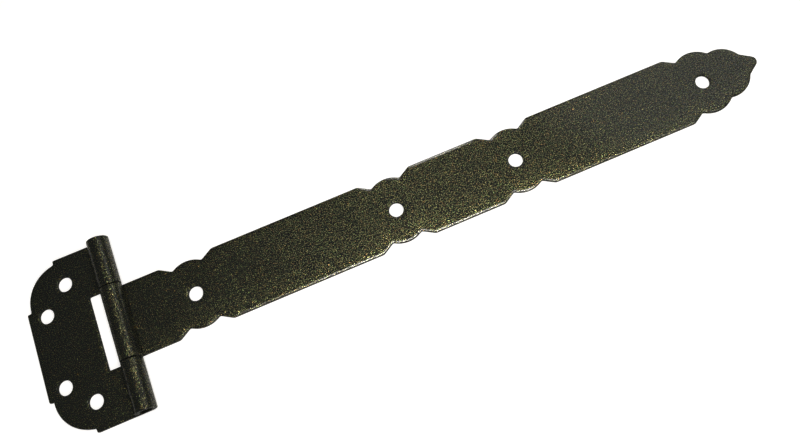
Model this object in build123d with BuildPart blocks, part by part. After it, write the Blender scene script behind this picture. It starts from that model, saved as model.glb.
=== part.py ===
"""Arrow hinge: a long stamped strap with an arrow tip, hung by a rolled barrel from a short fixing plate.

Both leaves are cut from one thickness of sheet, and their knuckles are rolled from that same sheet,
so each leaf is one piece. A pin runs through the plate's two outer knuckles and the strap's middle one.
Millimetres. X runs along the strap to its tip, Y along the barrel, and Z away from the surface that
the hinge is screwed to. The origin lies on that surface, straight under the barrel's axis.
"""

import os
from itertools import accumulate
from math import asin, degrees

from build123d import *

os.makedirs("parts", exist_ok=True)

# Sheet, pin and barrel
sheet = 2.0                      # thickness of both leaves
pin_diameter = 5.84
pin_clearance = 0.08             # radial, between the pin and every knuckle
pin_recess = 2.0                 # how far each end of the pin lies inside the barrel
pin_end_chamfer = 0.5
seam_gap = 0.4                   # from the rolled edge down to the face of its own leaf
knuckle_gap = 0.4                # between the strap's knuckle and each of the plate's
corner_round = 0.6               # every sharp corner of an outline, seen from above
edge_break = 0.3                 # small chamfer that takes the sharpness off the cut edges
hole_diameter = 6.8              # every screw hole

# Strap. A reach is measured along it from a screw hole, a half width across it from its centre line
strap_width = 35.0
first_hole = 34.6                # from the barrel's axis
hole_spacings = (99.2, 60.8, 97.9)
shoulder_reach = 12.9            # where the straight side ends
neck_reach = 7.1                 # the neck on each side of a hole
neck_depth = 3.5                 # how far a neck lies inside the straight side
bow_height = 2.25                # the side swells by this much again between two necks
valley_reach = 9.0               # the dip between the last bow and the arrowhead
valley_depth = 5.1
valley_round = 1.0
cheek_radius = 11.7              # round cheek of the arrowhead
cheek_length = 13.3              # along the strap, from the dip to the barb, the corner where the point starts
barb_half_width = 5.8
point_length = 8.5               # from the barb to the point, before that is rounded
point_round = 2.7

# Fixing plate. Its far edge lies opposite the barrel, its sides at the barrel's two ends
plate_reach = 40.8               # from the barrel's axis to the far edge
plate_height = 83.2              # along the barrel
notch_reach = 12.0               # from the barrel's axis into the plate, to let the strap swing through
corner_step = 2.05               # square step at both ends of a rounded corner
corner_along_side = 16.9         # from the far edge to the step in the side
corner_along_edge = 20.3         # from the side to the step in the far edge
corner_radius = 17.4
inner_hole_reach = 21.0          # from the barrel's axis
inner_hole_inset = 13.2          # from the side
outer_hole_inset_x = 8.3         # from the far edge
outer_hole_inset_y = 24.35       # from the side

# Worked out from the sizes above
bore_radius = pin_diameter / 2 + pin_clearance
barrel_radius = bore_radius + sheet
axis_height = barrel_radius      # the leaf's back runs on into the outside of its roll
roll_radius = bore_radius + sheet / 2
roll_angle = 270 + degrees(asin((axis_height - sheet - seam_gap) / barrel_radius))
clear_of_barrel = barrel_radius + sheet
bow_radius = (neck_reach**2 + bow_height**2) / (2 * bow_height)
stations = list(accumulate(hole_spacings, initial=first_hole))
strap_side = strap_width / 2
plate_side = plate_height / 2
notch_side = strap_side + knuckle_gap
pin_length = plate_height - 2 * pin_recess


def rolled_section(leaf_reach, way):
    """A leaf seen along the barrel, flat sheet that runs on into its roll. It lies on the way side of X."""
    with BuildSketch(Plane.XZ) as section:
        with BuildLine():
            Line((way * leaf_reach, sheet / 2), (0, sheet / 2))
            CenterArc((0, axis_height), roll_radius, start_angle=-90, arc_size=-way * roll_angle)
        trace(line_width=sheet)
    return section.sketch


def cut_edges(leaf):
    """A leaf's hole edges, the outer rims of its roll, and the straight edges of its front face.

    A chamfer on a straight edge runs on by itself round the smooth corners that follow it.
    """
    front = leaf.faces().filter_by(Plane.XY).filter_by_position(Axis.Z, sheet, sheet).edges()
    sides = front.filter_by(GeomType.LINE).filter_by(lambda edge: abs(edge.center().X) > edge_break)
    holes = front.filter_by(lambda edge: edge.is_closed)
    arcs = leaf.edges().filter_by(GeomType.CIRCLE).filter_by(lambda edge: edge.radius > bore_radius)
    rims = arcs.filter_by(lambda edge: edge.center().Z > sheet)
    return sides + holes + rims


# Strap: its flat outline, then the rolled sheet cut to it
with BuildSketch() as strap_outline:
    with BuildLine():
        start = (-clear_of_barrel, strap_side)
        Line((-clear_of_barrel, 0), start)
        for x in stations:
            neck = (x - neck_reach, strap_side - neck_depth)
            Polyline(start, (x - shoulder_reach, strap_side), neck)
            if x < stations[-1]:
                next_neck = (x + neck_reach, strap_side - neck_depth)
                start = (x + shoulder_reach, strap_side)
                RadiusArc(neck, next_neck, bow_radius)
                Line(next_neck, start)
        valley = (stations[-1] + valley_reach, strap_side - valley_depth)
        barb = (valley[0] + cheek_length, barb_half_width)
        tip = (barb[0] + point_length, 0)
        RadiusArc(neck, valley, bow_radius)
        RadiusArc(valley, barb, cheek_radius)
        Line(barb, tip)
        mirror(about=Plane.XZ)
    make_face()
    for low, high, radius in (
        (0, neck[0], corner_round),
        (valley[0], valley[0], valley_round),
        (barb[0], barb[0], corner_round),
        (tip[0], tip[0], point_round),
    ):
        fillet(strap_outline.vertices().filter_by_position(Axis.X, low, high), radius)

with BuildPart() as arrow_strap:
    extrude(rolled_section(tip[0], 1), strap_side, both=True)
    extrude(strap_outline.sketch, axis_height + barrel_radius, mode=Mode.INTERSECT)
    with Locations([(x, 0, sheet) for x in stations]):
        Hole(hole_diameter / 2)
    chamfer(cut_edges(arrow_strap), edge_break)
arrow_strap.part.label = "arrow_strap"
export_step(arrow_strap.part, "parts/arrow_strap.step")

# Fixing plate: stepped round corners, and a notch that parts its two knuckles
with BuildSketch() as plate_outline:
    with BuildLine():
        edge_step = (-plate_reach + corner_step, plate_side - corner_along_edge)
        side_step = (-plate_reach + corner_along_side, plate_side - corner_step)
        Polyline((-plate_reach, 0), (-plate_reach, edge_step[1]), edge_step)
        RadiusArc(edge_step, side_step, corner_radius)
        Polyline(
            side_step,
            (side_step[0], plate_side),
            (clear_of_barrel, plate_side),
            (clear_of_barrel, notch_side),
            (-notch_reach, notch_side),
            (-notch_reach, 0),
        )
        mirror(about=Plane.XZ)
    make_face()
    fillet(plate_outline.vertices().filter_by_position(Axis.X, -plate_reach, -notch_reach), corner_round)

plate_holes = [
    (-inner_hole_reach, plate_side - inner_hole_inset),
    (-plate_reach + outer_hole_inset_x, plate_side - outer_hole_inset_y),
]
with BuildPart() as fixing_plate:
    extrude(rolled_section(plate_reach, -1), plate_side, both=True)
    extrude(plate_outline.sketch, axis_height + barrel_radius, mode=Mode.INTERSECT)
    with Locations([(x, way * y, sheet) for x, y in plate_holes for way in (-1, 1)]):
        Hole(hole_diameter / 2)
    chamfer(cut_edges(fixing_plate), edge_break)
fixing_plate.part.label = "fixing_plate"
export_step(fixing_plate.part, "parts/fixing_plate.step")

# Pin: a little short of the barrel, so that both ends lie inside it
with BuildPart() as hinge_pin:
    with BuildSketch(Plane.XZ.offset(-pin_length / 2)):
        with Locations((0, axis_height)):
            Circle(pin_diameter / 2)
    extrude(amount=pin_length)
    chamfer(hinge_pin.edges().filter_by(GeomType.CIRCLE), pin_end_chamfer)
hinge_pin.part.label = "hinge_pin"
export_step(hinge_pin.part, "parts/hinge_pin.step")
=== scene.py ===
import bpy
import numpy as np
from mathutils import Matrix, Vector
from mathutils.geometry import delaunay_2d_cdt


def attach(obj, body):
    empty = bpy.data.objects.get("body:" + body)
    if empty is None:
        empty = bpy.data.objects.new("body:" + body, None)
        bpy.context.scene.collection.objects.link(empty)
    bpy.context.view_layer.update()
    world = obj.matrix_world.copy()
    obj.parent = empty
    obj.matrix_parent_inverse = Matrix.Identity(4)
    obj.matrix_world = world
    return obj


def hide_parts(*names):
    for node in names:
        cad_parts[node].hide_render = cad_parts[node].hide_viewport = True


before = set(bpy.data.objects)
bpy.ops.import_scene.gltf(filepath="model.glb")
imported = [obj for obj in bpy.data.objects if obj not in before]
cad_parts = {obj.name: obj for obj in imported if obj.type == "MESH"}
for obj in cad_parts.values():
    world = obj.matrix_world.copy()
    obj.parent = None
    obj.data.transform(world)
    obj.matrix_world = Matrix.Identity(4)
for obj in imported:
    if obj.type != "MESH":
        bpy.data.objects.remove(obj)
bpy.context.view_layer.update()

# %% [markdown]
# # An arrow hinge in hammered paint
#
# The hinge has two leaves of 2 mm sheet, a long strap with an arrow tip and a short fixing plate, and a
# pin. The CAD solids above give each piece its place and its joint. This lesson makes the pieces as one
# sees them: sheet whose cut edges the thick paint has rounded, under dark hammered paint with gold flecks.
#
# All lengths are worked out in millimetres and turned into metres when a mesh is made.

MM = 0.001

# %% [markdown]
# ## The sizes
#
# These are the sizes of the CAD source, because the looks have to lie where the solids do.
# A leaf is thought of as it is made: a flat blank first, whose edge is rolled up afterwards. So its
# length is the flat part's and the roll's, measured along the sheet's middle.

# %% Sizes of the sheet and the barrel
SHEET = 2.0
PIN_DIAMETER = 5.84
PIN_CLEARANCE = 0.08               # all round the pin
PIN_RECESS = 2.0                   # from each end of the barrel to the pin
SEAM_GAP = 0.4                     # from the rolled edge down to the leaf's face
KNUCKLE_GAP = 0.4
HOLE_RADIUS = 3.4

SHAVED = 0.005                     # taken off the barrel, because the CAD mesh's round has flat facets
BORE = PIN_DIAMETER / 2 + PIN_CLEARANCE
BARREL = BORE + SHEET - SHAVED
MIDDLE = BORE + SHEET / 2          # radius of the sheet's middle layer in the roll
ROLL_ANGLE = 1.5 * np.pi + np.arcsin((BARREL - SHEET - SEAM_GAP) / BARREL)
ROLL_LENGTH = MIDDLE * ROLL_ANGLE
print(f"barrel {2 * BARREL:.2f} mm across, {ROLL_LENGTH:.1f} mm of sheet in the roll")

# %% Sizes of the two leaves
# Strap: lengths run from a screw hole, or from the corner before, and depths from the straight side
STRAP_SIDE = 17.5
STATIONS = np.cumsum([34.6, 99.2, 60.8, 97.9])
SHOULDER, NECK, NECK_DEPTH, BOW_HEIGHT = 12.9, 7.1, 3.5, 2.25
VALLEY, VALLEY_DEPTH = 9.0, 5.1
CHEEK_RADIUS, CHEEK_LENGTH, BARB_SIDE = 11.7, 13.3, 5.8
POINT_LENGTH, POINT_ROUND = 8.5, 2.7

# Plate: reaches run from the barrel's axis, and sides from the middle of the barrel
PLATE_REACH, PLATE_SIDE, NOTCH_REACH = 40.8, 41.6, 12.0
STEP, ALONG_SIDE, ALONG_EDGE, CORNER_RADIUS = 2.05, 16.9, 20.3, 17.4
PLATE_HOLES = [(21.0, 28.4), (32.5, 17.25)]
NOTCH_SIDE = STRAP_SIDE + KNUCKLE_GAP
print("screw holes at", STATIONS.round(1).tolist(), "mm along the strap")

# %% [markdown]
# ## The outline of a blank
#
# A blank's outline is drawn in (s, y): s runs away from the barrel, y along it, and what is rolled up
# later lies at negative s. The outline goes round anticlockwise, so the sheet is always on its left.
# It is made of straight lines and of arcs that swell outwards. A curve drawn by hand could follow the
# photograph as well, but sizes in millimetres can be read, checked and changed.

# %% Straight lines and arcs
DENSE = 0.05                       # mm between the first points of an outline


def line(a, b):
    """Points from a to b: a + t (b - a), with t from 0 to 1, b left out."""
    t = np.arange(0, 1, DENSE / np.hypot(b[0] - a[0], b[1] - a[1]))[:, None]
    return np.array(a) + t * (np.array(b) - a)


def arc(a, b, radius):
    """Points from a to b on a circle that swells to the right of the way from a to b.

    Its centre lies to the left of the middle of a and b, by the root of radius^2 - (half the chord)^2.
    """
    a, b = np.array(a, float), np.array(b, float)
    chord = b - a
    half = np.hypot(*chord) / 2
    centre = (a + b) / 2 + np.array([-chord[1], chord[0]]) / (2 * half) * np.sqrt(radius**2 - half**2)
    start = np.arctan2(*(a - centre)[::-1])
    turn = 2 * np.arcsin(half / radius)
    angle = start + np.arange(0, 1, DENSE / (radius * turn)) * turn
    return centre + radius * np.column_stack([np.cos(angle), np.sin(angle)])


def mirrored(half):
    """A half outline that ends on the line y = 0, and its mirror image gone through backwards."""
    return np.vstack([half, half[::-1] * [1, -1]])


# %% Outline of the strap
def strap_outline():
    """The lower side from the roll to the point, station by station, then its mirror image."""
    bow = (NECK**2 + BOW_HEIGHT**2) / (2 * BOW_HEIGHT)
    last = (-ROLL_LENGTH, -STRAP_SIDE)
    parts = [line((-ROLL_LENGTH, 0), last)]
    for x in STATIONS:
        shoulder, neck = (x - SHOULDER, -STRAP_SIDE), (x - NECK, -STRAP_SIDE + NECK_DEPTH)
        parts += [line(last, shoulder), line(shoulder, neck)]
        if x < STATIONS[-1]:
            after, last = (x + NECK, neck[1]), (x + SHOULDER, -STRAP_SIDE)
            parts += [arc(neck, after, bow), line(after, last)]
    valley = (x + VALLEY, -STRAP_SIDE + VALLEY_DEPTH)
    barb = (valley[0] + CHEEK_LENGTH, -BARB_SIDE)
    slope = np.arctan2(BARB_SIDE, POINT_LENGTH)
    centre = barb[0] + POINT_LENGTH - POINT_ROUND / np.sin(slope)
    touch = (centre + POINT_ROUND * np.sin(slope), -POINT_ROUND * np.cos(slope))
    tip = (centre + POINT_ROUND, 0)
    parts += [arc(neck, valley, bow), arc(valley, barb, CHEEK_RADIUS), line(barb, touch)]
    parts += [arc(touch, tip, POINT_ROUND)]
    return mirrored(np.vstack(parts))


# %% Outline of the fixing plate
def plate_outline():
    """From the notch round the lower knuckle and the lower stepped corner, then the mirror image."""
    edge_step = (PLATE_REACH - STEP, -PLATE_SIDE + ALONG_EDGE)
    side_step = (PLATE_REACH - ALONG_SIDE, -PLATE_SIDE + STEP)
    corners = [
        (NOTCH_REACH, 0),
        (NOTCH_REACH, -NOTCH_SIDE),
        (-ROLL_LENGTH, -NOTCH_SIDE),
        (-ROLL_LENGTH, -PLATE_SIDE),
        (side_step[0], -PLATE_SIDE),
        side_step,
    ]
    parts = [line(a, b) for a, b in zip(corners, corners[1:])]
    parts += [arc(side_step, edge_step, CORNER_RADIUS)]
    far_corner = (PLATE_REACH, edge_step[1])
    parts += [line(edge_step, far_corner), line(far_corner, (PLATE_REACH, 0))]
    return mirrored(np.vstack(parts))


# %% [markdown]
# ## Soft corners, and points where they are needed
#
# No corner of painted sheet is sharp. Averaging each point with its neighbours, with weights that fall
# off like a bell, rounds every corner and hardly moves anything else. Afterwards the points are spread
# anew: the more the outline turns, in the blank or in the roll, the closer they lie.

# %% Ease an outline and spread its points
CORNER_EASE = 0.50                 # mm, width of the bell
BELL_REACH = 4                     # widths of the bell, beyond which its weights are next to nothing
LONGEST = 2.5                      # mm between two points on a straight run
TURN_STEP = np.radians(7.5)        # turn between two points on a bend
HOLE_SIDES = 48


def ease(points):
    """The closed outline's even points, each replaced by the weighted mean of its neighbours.

    At a distance d along the outline the weight is e^(-(d / CORNER_EASE)^2 / 2).
    """
    loop = np.vstack([points, points[:1]])
    length = np.r_[0, np.cumsum(np.hypot(*np.diff(loop, axis=0).T))]
    even = np.arange(0, length[-1], DENSE)
    loop = np.column_stack([np.interp(even, length, loop[:, k]) for k in (0, 1)])
    reach = int(BELL_REACH * CORNER_EASE / DENSE)
    offsets = np.arange(-reach, reach + 1) * DENSE
    weights = np.exp(-0.5 * (offsets / CORNER_EASE) ** 2)
    wrapped = np.vstack([loop[-reach:], loop, loop[:reach]])
    return np.column_stack([np.convolve(wrapped[:, k], weights / weights.sum(), "valid") for k in (0, 1)])


def spread(loop):
    """Points and outward unit normals at equal steps of (length / LONGEST + turn / TURN_STEP).

    The turn is the outline's own in the blank, and at negative s also |ds| / MIDDLE, the roll's.
    """
    ahead = np.roll(loop, -1, axis=0) - loop
    length = np.hypot(*ahead.T)
    angle = np.unwrap(np.arctan2(ahead[:, 1], ahead[:, 0]))
    turn = np.abs(np.diff(angle, append=angle[-1])) + np.abs(ahead[:, 0]) / MIDDLE * (loop[:, 0] < 0)
    measure = np.r_[0, np.cumsum(length / LONGEST + turn / TURN_STEP)]
    steps = np.linspace(0, measure[-1], int(measure[-1]) + 1)[:-1]
    closed = np.vstack([loop, loop[:1]])
    points = np.column_stack([np.interp(steps, measure, closed[:, k]) for k in (0, 1)])
    heading = np.interp(steps, measure[:-1] + np.diff(measure) / 2, angle)
    return points, np.column_stack([np.sin(heading), -np.cos(heading)])


def hole(x, y):
    """A screw hole, gone round clockwise: (x, y) + radius (cos a, -sin a), and normals into the hole."""
    a = np.linspace(0, 2 * np.pi, HOLE_SIDES, endpoint=False)
    way = np.column_stack([np.cos(a), -np.sin(a)])
    return np.array([x, y]) + HOLE_RADIUS * way, -way


# %% [markdown]
# ## From blank to leaf
#
# The blank's flat part stays flat, and the rest is rolled round the pin: the sheet runs under the pin,
# up its far side, over the top, and comes down just short of its own face. A point of the blank has a
# third number, n, its height above the blank's back. In the roll the back lies outside.
#
# A Simple Deform modifier could bend a flat mesh too. The formula also says which way the sheet faces
# after it is rolled, and that keeps the shading smooth.

# %% Roll a blank
def rolled(s, y, n, way):
    """Where the point (s, y, n) of a blank goes, in mm, and the three directions s, y and n there.

    Flat for s >= 0: (way s, y, n). For s < 0 the angle from straight down is p = -s / MIDDLE and the
    distance from the axis is r = BARREL - n, so the point is (-way r sin p, y, BARREL - r cos p).
    """
    p = np.maximum(-s, 0) / MIDDLE
    r = BARREL - n
    place = np.column_stack([way * np.maximum(s, 0) - way * r * np.sin(p), y, BARREL - r * np.cos(p)])
    zero, one = np.zeros_like(p), np.ones_like(p)
    along_s = np.column_stack([way * np.cos(p), zero, -np.sin(p)])
    along_y = np.column_stack([zero, one, zero])
    along_n = np.column_stack([way * np.sin(p), zero, np.cos(p)])
    return place, along_s, along_y, along_n


# %% [markdown]
# ## The cut edge
#
# A punch drags the sheet's face down a little before it shears through, so the front falls away softly
# beside every cut. Then come a tight round, a short straight wall, and a smaller round at the back. The
# rounds and the wall are a profile that is carried along every outline, the holes' too. A Bevel modifier
# rounds an edge as well, but has no soft fall, and that is what draws the bright line along the strap.

# %% Profile of the cut edge
FRONT_ROUND = 0.4                  # mm, radius of the front's round
BACK_ROUND = 0.25
ROUND_STEPS = 6                    # points on a round
FALL_END = 1.1                     # mm from the cut to the middle of the bend into the flat
FALL_BEND = 0.25                   # mm, how soft that bend is
FALL_TILT = np.radians(8.8)        # the front's tilt beside the cut
ROUND_START = FRONT_ROUND * (1 - np.sin(FALL_TILT))


def fall(distance):
    """How far the front lies below its full height at that distance from the cut in mm, and its slope.

    The slope is tan(FALL_TILT) / (1 + e^x) with x = (distance - FALL_END) / FALL_BEND. Added up from
    far inside the sheet, that gives FALL_BEND tan(FALL_TILT) ln(1 + e^-x).
    """
    x = (np.asarray(distance) - FALL_END) / FALL_BEND
    return FALL_BEND * np.tan(FALL_TILT) * np.logaddexp(0, -x), np.tan(FALL_TILT) / (1 + np.exp(x))


def edge_profile():
    """Rows of (inset, height, outward share, upward share): two arcs of a circle joined by the wall."""
    t = np.linspace(FALL_TILT, np.pi / 2, ROUND_STEPS)
    centre = SHEET - fall(ROUND_START)[0] - FRONT_ROUND * np.cos(FALL_TILT)
    front = [FRONT_ROUND * (1 - np.sin(t)), centre + FRONT_ROUND * np.cos(t), np.sin(t), np.cos(t)]
    t = np.linspace(0, np.pi / 2, ROUND_STEPS)
    back = [BACK_ROUND * (1 - np.cos(t)), BACK_ROUND * (1 - np.sin(t)), np.cos(t), -np.sin(t)]
    return np.vstack([np.column_stack(front), np.column_stack(back)])


print(f"the front lies {fall(ROUND_START)[0]:.2f} mm lower beside a cut")

# %% [markdown]
# ## The leaf's skin
#
# Each outline gives a closed strip of four-sided faces. The front and the back are filled with triangles
# between the strips' first and last rows, over points on a grid that is fine where the sheet is rolled.
# The formulas also say where each point's normal is, so the shading is smooth without more faces.
#
# The paint needs to know where it lies, so each point also gets two shares from 0 to 1: how much it
# belongs to a cut edge, where the walls get painted shade, and how near it lies to the outline, where
# denser flakes make a painted highlight.

# %% Points inside an outline
ROLL_GRID = (MIDDLE * TURN_STEP, 1.5)
FLAT_GRID = (4.0, 4.0)
RINGS = (0.55, 0.75, 0.95, 1.2, 1.5, 1.9, 2.4, 3.1)    # mm from the cut, where the front falls away
CLEAR = 0.7                        # mm kept free beside the rings, or beside the back's outline
SLACK = 0.01                       # mm that a ring's points may lie nearer to a cut than the ring does
BATCHES = 40                       # parts in which distances are measured, to keep the tables small
TINY = 1e-9                        # mm, so that no distance of 0 is divided by


def inside(points, loops):
    """True where a point has an odd number of outline crossings to its right."""
    odd = np.zeros(len(points), bool)
    x, y = points.T
    for loop in loops:
        a, b = loop, np.roll(loop, -1, axis=0)
        rising = (a[:, 1][:, None] > y) != (b[:, 1][:, None] > y)
        slope = (b[:, 0] - a[:, 0]) / np.where(b[:, 1] == a[:, 1], 1, b[:, 1] - a[:, 1])
        crossing = a[:, 0][:, None] + slope[:, None] * (y - a[:, 1][:, None])
        odd ^= (rising & (crossing > x)).sum(0) % 2 == 1
    return odd


def nearest(points, loops):
    """Each point's distance from the outlines, and the direction to the nearest place on them.

    On the side from a to b the nearest place is a + t (b - a), with t = (p - a).(b - a) / |b - a|^2,
    held between 0 and 1.
    """
    a = np.vstack(loops)
    side = np.vstack([np.roll(loop, -1, axis=0) for loop in loops]) - a
    found = []
    for part in np.array_split(points, BATCHES):
        t = ((part[:, None] - a) * side).sum(-1) / (side * side).sum(-1)
        away = a + np.clip(t, 0, 1)[..., None] * side - part[:, None]
        length = np.hypot(away[..., 0], away[..., 1])
        best = length.argmin(1)
        row = np.arange(len(part))
        found.append(np.column_stack([length[row, best], away[row, best]]))
    found = np.vstack(found)
    return found[:, 0], found[:, 1:] / np.maximum(found[:, :1], TINY)


def inner_points(outlines, rings):
    """Points in the sheet: rings beside every outline, then a grid, finer along s where it is rolled."""
    loops = [points for points, _ in outlines]
    low, high = loops[0].min(0), loops[0].max(0)
    groups = [(ring - SLACK, points - ring * outward) for ring in rings for points, outward in outlines]
    for s0, s1, (ds, dy) in ((low[0], 0, ROLL_GRID), (0, high[0], FLAT_GRID)):
        s, y = np.meshgrid(np.arange(s0 + ds / 2, s1, ds), np.arange(low[1] + dy / 2, high[1], dy))
        groups.append((CLEAR + max(rings, default=FRONT_ROUND), np.column_stack([s.ravel(), y.ravel()])))
    kept = []
    for clear, points in groups:
        points = points[inside(points, loops)]
        kept.append(points[nearest(points, loops)[0] > clear])
    points = np.vstack(kept)
    return points, *nearest(points, loops)


# %% Fill between outlines
INSIDE = 1                         # the kind of result that leaves out what lies outside the edges
SAME_POINT = 1e-7                  # mm


def fill(loops, points):
    """Triangles between the loops over the inner points, as rows of indices into loops, then points."""
    flat = np.vstack(loops + [points])
    edges, first = [], 0
    for loop in loops:
        index = first + np.arange(len(loop))
        edges += np.column_stack([index, np.roll(index, -1)]).tolist()
        first += len(loop)
    found = delaunay_2d_cdt([Vector(p) for p in flat], edges, [], INSIDE, SAME_POINT)
    _, _, faces, sources, _, _ = found
    triangles = np.array([[sources[i][0] for i in face] for face in faces])
    a, b, c = (flat[triangles[:, k]] for k in range(3))
    keep = inside((a + b + c) / 3, loops)
    turn = (b - a)[:, 0] * (c - a)[:, 1] - (b - a)[:, 1] * (c - a)[:, 0]
    triangles[turn < 0] = triangles[turn < 0][:, ::-1]
    return triangles[keep]


# %% Make a mesh
def make_mesh(name, points, faces, normals, shares, material):
    """A smooth mesh from points in mm, faces, and one normal and one of each named share per point."""
    mesh = bpy.data.meshes.new(name)
    mesh.from_pydata((points * MM).tolist(), [], faces)
    mesh.polygons.foreach_set("use_smooth", np.ones(len(mesh.polygons), bool))
    mesh.normals_split_custom_set_from_vertices(normals.tolist())
    for key, share in shares.items():
        mesh.attributes.new(key, "FLOAT", "POINT").data.foreach_set("value", share.astype(np.float32))
    mesh.materials.append(material)
    made = bpy.data.objects.new(name, mesh)
    bpy.context.scene.collection.objects.link(made)
    print(f"{name}: {len(mesh.vertices)} points, {sum(len(p) - 2 for p in faces)} triangles")
    return made


# %% Edges, front and back of a leaf
def edge_strips(loops, profile):
    """The profile carried along each outline: rows of (s, y, n, the normal's three shares), and quads.

    A row lies at (outline point) - inset * (outward direction). Each quad joins two neighbouring rows of
    the profile at two neighbouring points of the outline.
    """
    inset, height, outward_share, upward_share = profile.T
    blocks, faces, first = [], [], 0
    for points, outward in loops:
        block = np.empty((len(points), len(profile), 6))
        block[..., :2] = points[:, None] - inset[:, None] * outward[:, None]
        block[..., 2] = height
        block[..., 3:5] = outward_share[:, None] * outward[:, None]
        block[..., 5] = upward_share
        blocks.append(block.reshape(-1, 6))
        m, k = np.arange(len(points))[:, None] * len(profile), np.arange(len(profile) - 1)
        after = np.roll(m, -1, axis=0)
        quads = np.stack([m + k, m + k + 1, after + k + 1, after + k], axis=-1) + first
        faces.append(quads.reshape(-1, 4))
        first += len(blocks[-1])
    return np.vstack(blocks), faces


def cover(loops, profile, front, first):
    """The front or the back between the strips, in rows as above, and its triangles.

    The front lies fall(distance) lower, and its normal leans towards the cut by the slope's angle. The
    first of the new points gets the number first.
    """
    row, height, rings = (0, SHEET, RINGS) if front else (len(profile) - 1, 0.0, ())
    grid, distance, towards = inner_points(loops, rings)
    lowered, slope = fall(distance) if front else np.zeros((2, len(grid)))
    tilt = np.arctan(slope)
    upward_share = np.cos(tilt) if front else -np.cos(tilt)
    block = np.column_stack([grid, height - lowered, np.sin(tilt)[:, None] * towards, upward_share])
    rims = [points - profile[row, 0] * outward for points, outward in loops]
    on_strips = np.arange(sum(len(edge_highlight) for edge_highlight in rims)) * len(profile) + row
    index = np.concatenate([on_strips, first + np.arange(len(grid))])
    triangles = index[fill(rims, grid)]
    return block, triangles if front else triangles[:, ::-1]


# %% Skin a leaf
HIGHLIGHT_REACH = 2.1                    # mm from the outline in which the painted highlight's share falls to about a third
UPPER_HIGHLIGHT = 0.35                   # the painted highlight's share at the upper side, where it is 1 at the lower


def leaf(name, outline, holes, way, edge_highlight, material):
    """A leaf from its blank's outline and holes, on the way side of x.

    The normal is (share along s) times the direction of s, and so on for y and n. The painted highlight's
    share is its given strength times e^(-distance / reach), with the distance from the outline.
    """
    profile = edge_profile()
    loops = [spread(ease(outline))] + [hole(x, y) for x, y in holes]
    strips, faces = edge_strips(loops, profile)
    blocks = [strips]
    for front in (True, False):
        block, triangles = cover(loops, profile, front, sum(len(b) for b in blocks))
        blocks.append(block)
        faces.append(triangles)
    s, y, n, *shares = np.vstack(blocks).T
    place, *directions = rolled(s, y, n, way)
    normals = sum(share[:, None] * direction for share, direction in zip(shares, directions))
    faces = [face for block in faces for face in (block if way > 0 else block[:, ::-1]).tolist()]
    distance, _ = nearest(np.column_stack([s, y]), [loops[0][0]])
    # painted highlight: denser flakes along the outline, full on the lower side and weaker on the upper
    painted_highlight = edge_highlight * np.exp(-distance / HIGHLIGHT_REACH) * np.where(y < 0, 1.0, UPPER_HIGHLIGHT)
    carried = {"cut": np.hypot(shares[0], shares[1]), "edge_highlight": painted_highlight}
    return make_mesh(name, place, faces, normals, carried, material)


# %% [markdown]
# ## Shader maths written as sums
#
# A material's nodes are easier to read as sums. The class below wraps one socket, so that a + b or
# 1 - a adds the Math node that it stands for. Any other node comes from the method `node`.

# %% A small class for sockets
class Maths:
    """One output socket of a material, with + - * that add Math nodes."""

    def __init__(self, tree, socket=None):
        self.tree, self.socket = tree, socket

    def node(self, kind, settings=None, **inputs):
        """A node of that kind with its settings, and values or links on its sockets. Spaces are _."""
        made = self.tree.nodes.new(kind)
        for key, value in (settings or {}).items():
            setattr(made, key, value)
        for key, value in inputs.items():
            socket = made.inputs[int(key[1:])] if key[1:].isdigit() else made.inputs[key.replace("_", " ")]
            if isinstance(value, Maths):
                self.tree.links.new(value.socket, socket)
            else:
                socket.default_value = value
        return made

    def out(self, made, name=0):
        """That output of a node, wrapped."""
        return Maths(self.tree, made.outputs[name])

    def math(self, operation, a, b, clamp=False):
        """A Math node's result, held between 0 and 1 if clamp is true."""
        settings = {"operation": operation, "use_clamp": clamp}
        return self.out(self.node("ShaderNodeMath", settings, i0=a, i1=b))

    def __add__(self, other):
        return self.math("ADD", self, other)

    def __radd__(self, other):
        return self.math("ADD", other, self)

    def __sub__(self, other):
        return self.math("SUBTRACT", self, other)

    def __rsub__(self, other):
        return self.math("SUBTRACT", other, self)

    def __mul__(self, other):
        return self.math("MULTIPLY", self, other)

    def __rmul__(self, other):
        return self.math("MULTIPLY", other, self)

    def between(self, low, high):
        """0 below low, 1 above high, and a straight rise between them."""
        return self.math("MULTIPLY", self - low, 1 / (high - low), clamp=True)

    def mix(self, a, b):
        """Colour a where this is 0 and colour b where it is 1."""
        made = self.node("ShaderNodeMix", {"data_type": "RGBA"}, i0=self, i6=a, i7=b)
        return self.out(made, 2)


# %% [markdown]
# ## Hammered paint
#
# Hammered paint is dark, and metal flakes float in it under clear lacquer. While it dries it draws
# together into little worms and cells, so that it looks beaten. The flakes are a rough metal, so one
# lamp lights them over a wide patch. The lacquer is a smooth coat, so it only mirrors what lies in line
# with it: bright lines where an edge bends over, and hardly anything on the flat. Noise places the
# flakes. An image could hold them too, but it would blur close by and show a seam on the roll.
#
# Along the strap's outline the flakes are made denser, most of all on the lower side, fading out over
# a few millimetres. This is a painted highlight: it widens the bright band that the lamps draw beside that
# edge.

# %% Paint
FLAKE_SIZE = 0.37                  # mm from one flake to the next
SPECK_SIZE = 0.60                  # mm from one glossy speck of the lacquer to the next
CELL_SIZE = 2.1                    # mm across one cell of the hammered skin
PATCH_SIZE = 20.0                  # mm across a darker or lighter patch of the ground
GOLD = (0.27, 0.27, 0.12, 1)
GREEN = (0.19, 0.26, 0.10, 1)
BROWN = (0.37, 0.23, 0.09, 1)
DARKEST = (0.0101, 0.0118, 0.0113, 1)
DARK = (0.0117, 0.0136, 0.0130, 1)

# From which to which value of its noise each of these comes in
FLAKE_RANGE = (0.53, 0.78)
GREEN_RANGE = (0.50, 0.60)
BROWN_RANGE = (0.58, 0.66)
PATCH_RANGE = (0.3, 0.7)
SPECK_RANGE = (0.40, 0.62)

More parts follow.
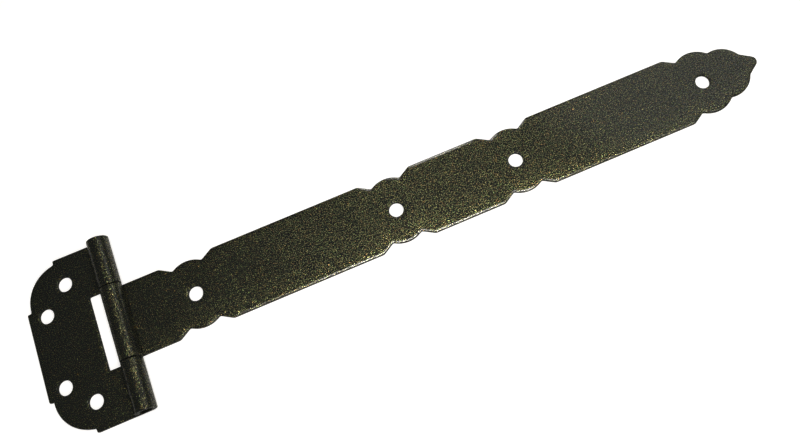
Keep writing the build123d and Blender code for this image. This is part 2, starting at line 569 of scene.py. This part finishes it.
METAL_RANGE = (0.0, 0.15)          # strength of a flake over which the dark ground turns to metal
WALL_SHADE_RANGE = (0.5, 1.0)             # share of cut edge over which the painted shade on the walls comes in
WALL_SHADE_LOSS = 0.85                    # how much of the flakes and lacquer the painted shade takes off there
HIGHLIGHT_GAIN = 3.5                     # how much stronger the flakes are in the painted highlight along the outline
ROUGHNESS = 0.34
FLAKE_POLISH = 0.06                # how much less rough a flake is
FLAKE_HEIGHT, SKIN_HEIGHT = 0.26, 0.03
BUMP_STRENGTH = 0.5
LEAST_COAT = 0.15                  # the lacquer between two glossy specks
COAT_ROUGHNESS = 0.14


def hammered_paint(name):
    """Dark glossy paint with flakes. Noise on the object's own coordinates places flakes, specks and
    cells, and the mesh's two shares place a painted highlight and painted shade.

    Noise is made on a grid of cells. Cut between two of the grid's planes it has clumps, and along one
    of them it is even, as flakes in paint are. So the sheet's front is moved to such a plane, z = 0.
    """
    material = bpy.data.materials.new(name)
    material.use_nodes = True
    tree = material.node_tree
    shader = tree.nodes["Principled BSDF"]
    maths = Maths(tree)
    place = maths.out(maths.node("ShaderNodeTexCoord"), "Object")

    def noise(size, detail, offset=0.0):
        """Noise with waves of that size in mm, and its colour. Another offset gives another noise."""
        shift = (offset, offset, -SHEET * MM)
        moved = maths.out(maths.node("ShaderNodeVectorMath", {"operation": "ADD"}, i0=place, i1=shift))
        made = maths.node("ShaderNodeTexNoise", None, Vector=moved, Scale=1 / size / MM, Detail=detail)
        return maths.out(made, 0), maths.out(made, 1)

    def carried(key):
        """A share that the mesh's points carry."""
        return maths.out(maths.node("ShaderNodeAttribute", {"attribute_name": key}), "Fac")

    fine, hue = noise(FLAKE_SIZE, 0.0)
    tilt, _ = noise(FLAKE_SIZE, 0.0, offset=0.5)
    skin, _ = noise(CELL_SIZE, 2.0, offset=0.3)
    patch, _ = noise(PATCH_SIZE, 2.0, offset=0.7)
    speck, _ = noise(SPECK_SIZE, 0.0, offset=0.9)
    # painted shade: the cut walls lose most of their lacquer and flakes, so they mirror little of the
    # white floor and stay dark
    wall_shade_factor = 1 - carried("cut").between(*WALL_SHADE_RANGE) * WALL_SHADE_LOSS
    flake = fine.between(*FLAKE_RANGE)
    # painted highlight: flakes made stronger along the strap's outline
    flake = flake * flake * (1 + carried("edge_highlight") * HIGHLIGHT_GAIN) * wall_shade_factor
    split = maths.node("ShaderNodeSeparateColor", None, Color=hue)
    green, brown = maths.out(split, 1), maths.out(split, 2)
    colour = green.between(*GREEN_RANGE).mix(GOLD, GREEN)
    colour = brown.between(*BROWN_RANGE).mix(colour, BROWN)
    dark = patch.between(*PATCH_RANGE).mix(DARKEST, DARK)
    coat = (speck.between(*SPECK_RANGE) * (1 - LEAST_COAT) + LEAST_COAT) * wall_shade_factor
    height = tilt * FLAKE_HEIGHT + skin * SKIN_HEIGHT
    bump = maths.node("ShaderNodeBump", None, Strength=BUMP_STRENGTH, Distance=MM, Height=height)
    varying = {
        "Base Color": flake.mix(dark, colour),
        "Metallic": flake.between(*METAL_RANGE),
        "Roughness": ROUGHNESS - flake * FLAKE_POLISH,
        "Coat Weight": coat,
        "Normal": maths.out(bump),
    }
    for key, value in varying.items():
        tree.links.new(value.socket, shader.inputs[key])
    shader.inputs["Specular IOR Level"].default_value = 0.0
    shader.inputs["Coat Roughness"].default_value = COAT_ROUGHNESS
    return material


paint = hammered_paint("hammered_paint")
print("the paint has", len(paint.node_tree.nodes), "nodes")

# %% [markdown]
# ## The two leaves
#
# Each leaf stands for its CAD solid and moves with the same body: the strap turns about the pin, and
# the plate stays where it is screwed on. Only the strap gets the painted highlight of denser flakes along
# its outline.

# %% Strap and plate
# 1.0 is the strength of the strap's painted highlight of denser flakes; the plate gets none
strap = leaf("strap_skin", strap_outline(), [(x, 0) for x in STATIONS], 1, 1.0, paint)
plate_holes = [(x, way * y) for x, y in PLATE_HOLES for way in (-1, 1)]
plate = leaf("plate_skin", plate_outline(), plate_holes, -1, 0.0, paint)
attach(strap, "strap")
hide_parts("arrow_strap")
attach(plate, "plate")
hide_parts("fixing_plate")

# %% [markdown]
# ## The pin
#
# The pin shows only as a dark disc at the bottom of the barrel's two open ends. It is a turned piece: a
# profile spun round the barrel's axis, with a rounded rim and a slightly domed end. A cylinder with a
# bevel would be nearly the same, but its ends would be dead flat and catch no light.

# %% Pin
PIN_RIM = 0.5                      # mm, radius of the round at each end
PIN_DOME = 0.15                    # mm that the middle of an end stands higher
DOME_STEPS = 5
PIN_SIDES = 48


def pin_profile():
    """Rows of (radius, distance along the axis, normal's two shares), from one pole to the other."""
    reach, radius = PLATE_SIDE - PIN_RECESS, PIN_DIAMETER / 2
    flat = np.linspace(0, radius - PIN_RIM, DOME_STEPS)
    t = np.linspace(0, np.pi / 2, ROUND_STEPS)
    r = np.r_[flat, radius - PIN_RIM + PIN_RIM * np.sin(t)]
    a = np.r_[reach - PIN_DOME * (flat / flat[-1]) ** 2, reach - PIN_DOME - PIN_RIM * (1 - np.cos(t))]
    shares = np.r_[0 * flat, np.sin(t)], np.r_[0 * flat + 1, np.cos(t)]
    half = np.column_stack([r, a, *shares])
    return np.vstack([half, half[::-1] * [1, -1, 1, -1]])


def turned(name, profile, sides, material):
    """The profile spun about the barrel's axis: (r cos a, distance, BARREL + r sin a)."""
    a = np.linspace(0, 2 * np.pi, sides, endpoint=False)[:, None]
    r, along, out, forth = profile[1:-1].T
    place = np.stack([r * np.cos(a), along + 0 * a, BARREL + r * np.sin(a)], axis=-1).reshape(-1, 3)
    normal = np.stack([out * np.cos(a), forth + 0 * a, out * np.sin(a)], axis=-1).reshape(-1, 3)
    rows = len(r)
    m, k = np.arange(sides)[:, None] * rows, np.arange(rows - 1)
    after = np.roll(m, -1, axis=0)
    quads = np.stack([m + k, m + k + 1, after + k + 1, after + k], axis=-1).reshape(-1, 4).tolist()
    poles = np.array([[0, profile[0, 1], BARREL], [0, profile[-1, 1], BARREL]])
    near, far = len(place), len(place) + 1
    caps = [[near, int(i), int(j)] for i, j in zip(m[:, 0], after[:, 0])]
    caps += [[far, int(j) + rows - 1, int(i) + rows - 1] for i, j in zip(m[:, 0], after[:, 0])]
    places = np.vstack([place, poles])
    normals = np.vstack([normal, [[0, 1, 0], [0, -1, 0]]])
    # the pin's ends count as cut edge, so they get the same painted shade and show as a dark disc
    carried = {"cut": np.abs(normals[:, 1]), "edge_highlight": np.zeros(len(places))}
    return make_mesh(name, places, quads + caps, normals, carried, material)


pin = turned("pin_skin", pin_profile(), PIN_SIDES, paint)
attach(pin, "plate")
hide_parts("hinge_pin")

# %% [markdown]
# ## Camera
#
# The camera's place and lens were worked out from the hinge's own outline in the photograph. The three
# rows below are the picture's right, its up and the way back to the camera, written in the hinge's frame.

# %% Camera
CAMERA_PLACE = (130.91, -107.30, 353.45)
IMAGE = (800, 446)                 # pixels
FOCAL = 789.0                      # pixels
CENTRE = (435.6, 185.8)            # pixel that the lens points at
SENSOR = 36.0                      # mm
CLIP = (0.01, 100)                 # m, nearer and farther than which the camera sees nothing
camera = bpy.data.objects.new("camera", bpy.data.cameras.new("camera"))
bpy.context.scene.collection.objects.link(camera)
bpy.context.scene.camera = camera
camera.data.sensor_width = SENSOR
camera.data.lens = FOCAL * SENSOR / IMAGE[0]
camera.data.shift_x = (IMAGE[0] / 2 - CENTRE[0]) / IMAGE[0]
camera.data.shift_y = (CENTRE[1] - IMAGE[1] / 2) / IMAGE[0]
camera.data.clip_start, camera.data.clip_end = CLIP
CAMERA_ROWS = (
    (0.92098, -0.38530, -0.05780),
    (0.38406, 0.87288, 0.30096),
    (-0.06551, -0.29938, 0.95188),
)
turned_to = Matrix(CAMERA_ROWS).transposed().to_4x4()
camera.matrix_world = Matrix.Translation(Vector(CAMERA_PLACE) * MM) @ turned_to
print(f"lens {camera.data.lens:.2f}, shift {camera.data.shift_x:.4f} {camera.data.shift_y:.4f}")

# %% [markdown]
# ## Floor
#
# A pale floor lies under the hinge. To the camera it also glows, so much that it is plain white and
# only the hinge's own shadow shows on it. In reflections it glows a little, which makes it close to
# white there too. More lamps would make it white as well, but they would bleach the dark paint.

# %% Floor
FLOOR_GREY, FLOOR_ROUGHNESS = 0.8, 0.9
CAMERA_GLOW, MIRROR_GLOW = 0.55, 0.15
FLOOR_HALF = 6000.0                # mm from the floor's middle to its sides
FLOOR_Z = -0.1                     # mm, just under the hinge's back


def pale_floor(name):
    """White to the camera, nearly so in reflections, and plain pale for the light it takes and gives."""
    material = bpy.data.materials.new(name)
    material.use_nodes = True
    tree = material.node_tree
    maths = Maths(tree)
    shader = tree.nodes["Principled BSDF"]
    shader.inputs["Base Color"].default_value = (FLOOR_GREY, FLOOR_GREY, FLOOR_GREY, 1)
    shader.inputs["Roughness"].default_value = FLOOR_ROUGHNESS
    shader.inputs["Specular IOR Level"].default_value = 0.0
    path = maths.node("ShaderNodeLightPath")
    glossy, transmitted = (maths.out(path, key) for key in ("Is Glossy Ray", "Is Transmission Ray"))
    mirrored_too = maths.math("MAXIMUM", glossy, transmitted)
    glow = maths.out(path, "Is Camera Ray") * CAMERA_GLOW + mirrored_too * MIRROR_GLOW
    shader.inputs["Emission Color"].default_value = (1, 1, 1, 1)
    tree.links.new(glow.socket, shader.inputs["Emission Strength"])
    return material


corners = np.array([[-1, -1, 0], [1, -1, 0], [1, 1, 0], [-1, 1, 0]]) * FLOOR_HALF + [0, 0, FLOOR_Z]
floor_mesh = bpy.data.meshes.new("floor")
floor_mesh.from_pydata((corners * MM).tolist(), [], [(0, 1, 2, 3)])
floor_mesh.materials.append(pale_floor("pale_floor"))
floor = bpy.data.objects.new("floor", floor_mesh)
bpy.context.scene.collection.objects.link(floor)

# %% [markdown]
# ## Lamps
#
# The top and strip lamps are long and thin and hang a little to the strap's lower side. That edge bends
# towards them and mirrors them as a bright line, which no wide lamp would draw. The back lamp does the
# same for the upper edge. The front lamp gives the plain even light, and the sheen lamp in the same place
# is the small part of it that the lacquer mirrors. The side lamp lights the flakes of the strap's far
# half, which lie too far out for the strips.
#
# A lamp's strength is easier to set as a level, the brightness of a white card that faces it.

# %% Lamps
WARM = (1.0, 0.96, 0.87)
PALE_WARM = (1.0, 0.97, 0.90)
EVEN_WARM = (1.0, 0.96, 0.88)
SIDE_SPREAD = np.radians(60)


def lamp(name, place, target, size, level, colour=(1, 1, 1)):
    """A lamp of that width and height at place that faces target, all in mm.

    At the target it alone makes a white card that faces it as bright as level, where 1 is plain white.
    Its power is level (pi distance)^2.
    """
    data = bpy.data.lights.new(name, "AREA")
    data.shape = "RECTANGLE"
    data.size, data.size_y = size[0] * MM, size[1] * MM
    away = Vector(place) - Vector(target)
    data.energy = level * (np.pi * away.length * MM) ** 2
    data.color = colour
    made = bpy.data.objects.new(name, data)
    made.location = Vector(place) * MM
    made.rotation_euler = away.to_track_quat("Z", "Y").to_euler()
    bpy.context.scene.collection.objects.link(made)
    print(f"{name}: {data.energy:.2f} W")
    return made


lamp("top_lamp", (170, -29, 450), (170, -29, 0), (250, 22), 0.48, WARM)
lamp("strip_lamp", (215, -29, 455), (215, -29, 0), (540, 22), 0.21, WARM)
lamp("back_lamp", (206, 304, 450), (170, 0, 0), (70, 60), 0.10, PALE_WARM)
front_lamp = lamp("front_lamp", (180, -900, 450), (165, 0, 0), (1200, 700), 0.62, EVEN_WARM)
front_lamp.visible_glossy = False  # its wide reflection would wash out the paint seen from the other side
lamp("sheen_lamp", (180, -900, 450), (165, 0, 0), (1200, 700), 0.10, EVEN_WARM)
side_lamp = lamp("side_lamp", (560, 190, 400), (330, 0, 0), (420, 420), 0.029)
side_lamp.data.spread = SIDE_SPREAD

# %% [markdown]
# ## World
#
# The world is what shows beyond the floor, from low down. The camera sees it white, as the floor. For
# everything else it is nearly dark, so that the lamps alone shape the hinge.

# %% World
WORLD_LEVEL = 0.05                 # how bright the world is for everything but the camera
world = bpy.data.worlds.new("studio")
bpy.context.scene.world = world
world.use_nodes = True
background = world.node_tree.nodes["Background"]
background.inputs["Color"].default_value = (1, 1, 1, 1)
sky = Maths(world.node_tree)
white = sky.out(sky.node("ShaderNodeLightPath"), "Is Camera Ray")
strength = white * (1 - WORLD_LEVEL) + WORLD_LEVEL
world.node_tree.links.new(strength.socket, background.inputs["Strength"])

# %% Plain colours
bpy.context.scene.view_settings.view_transform = "Standard"
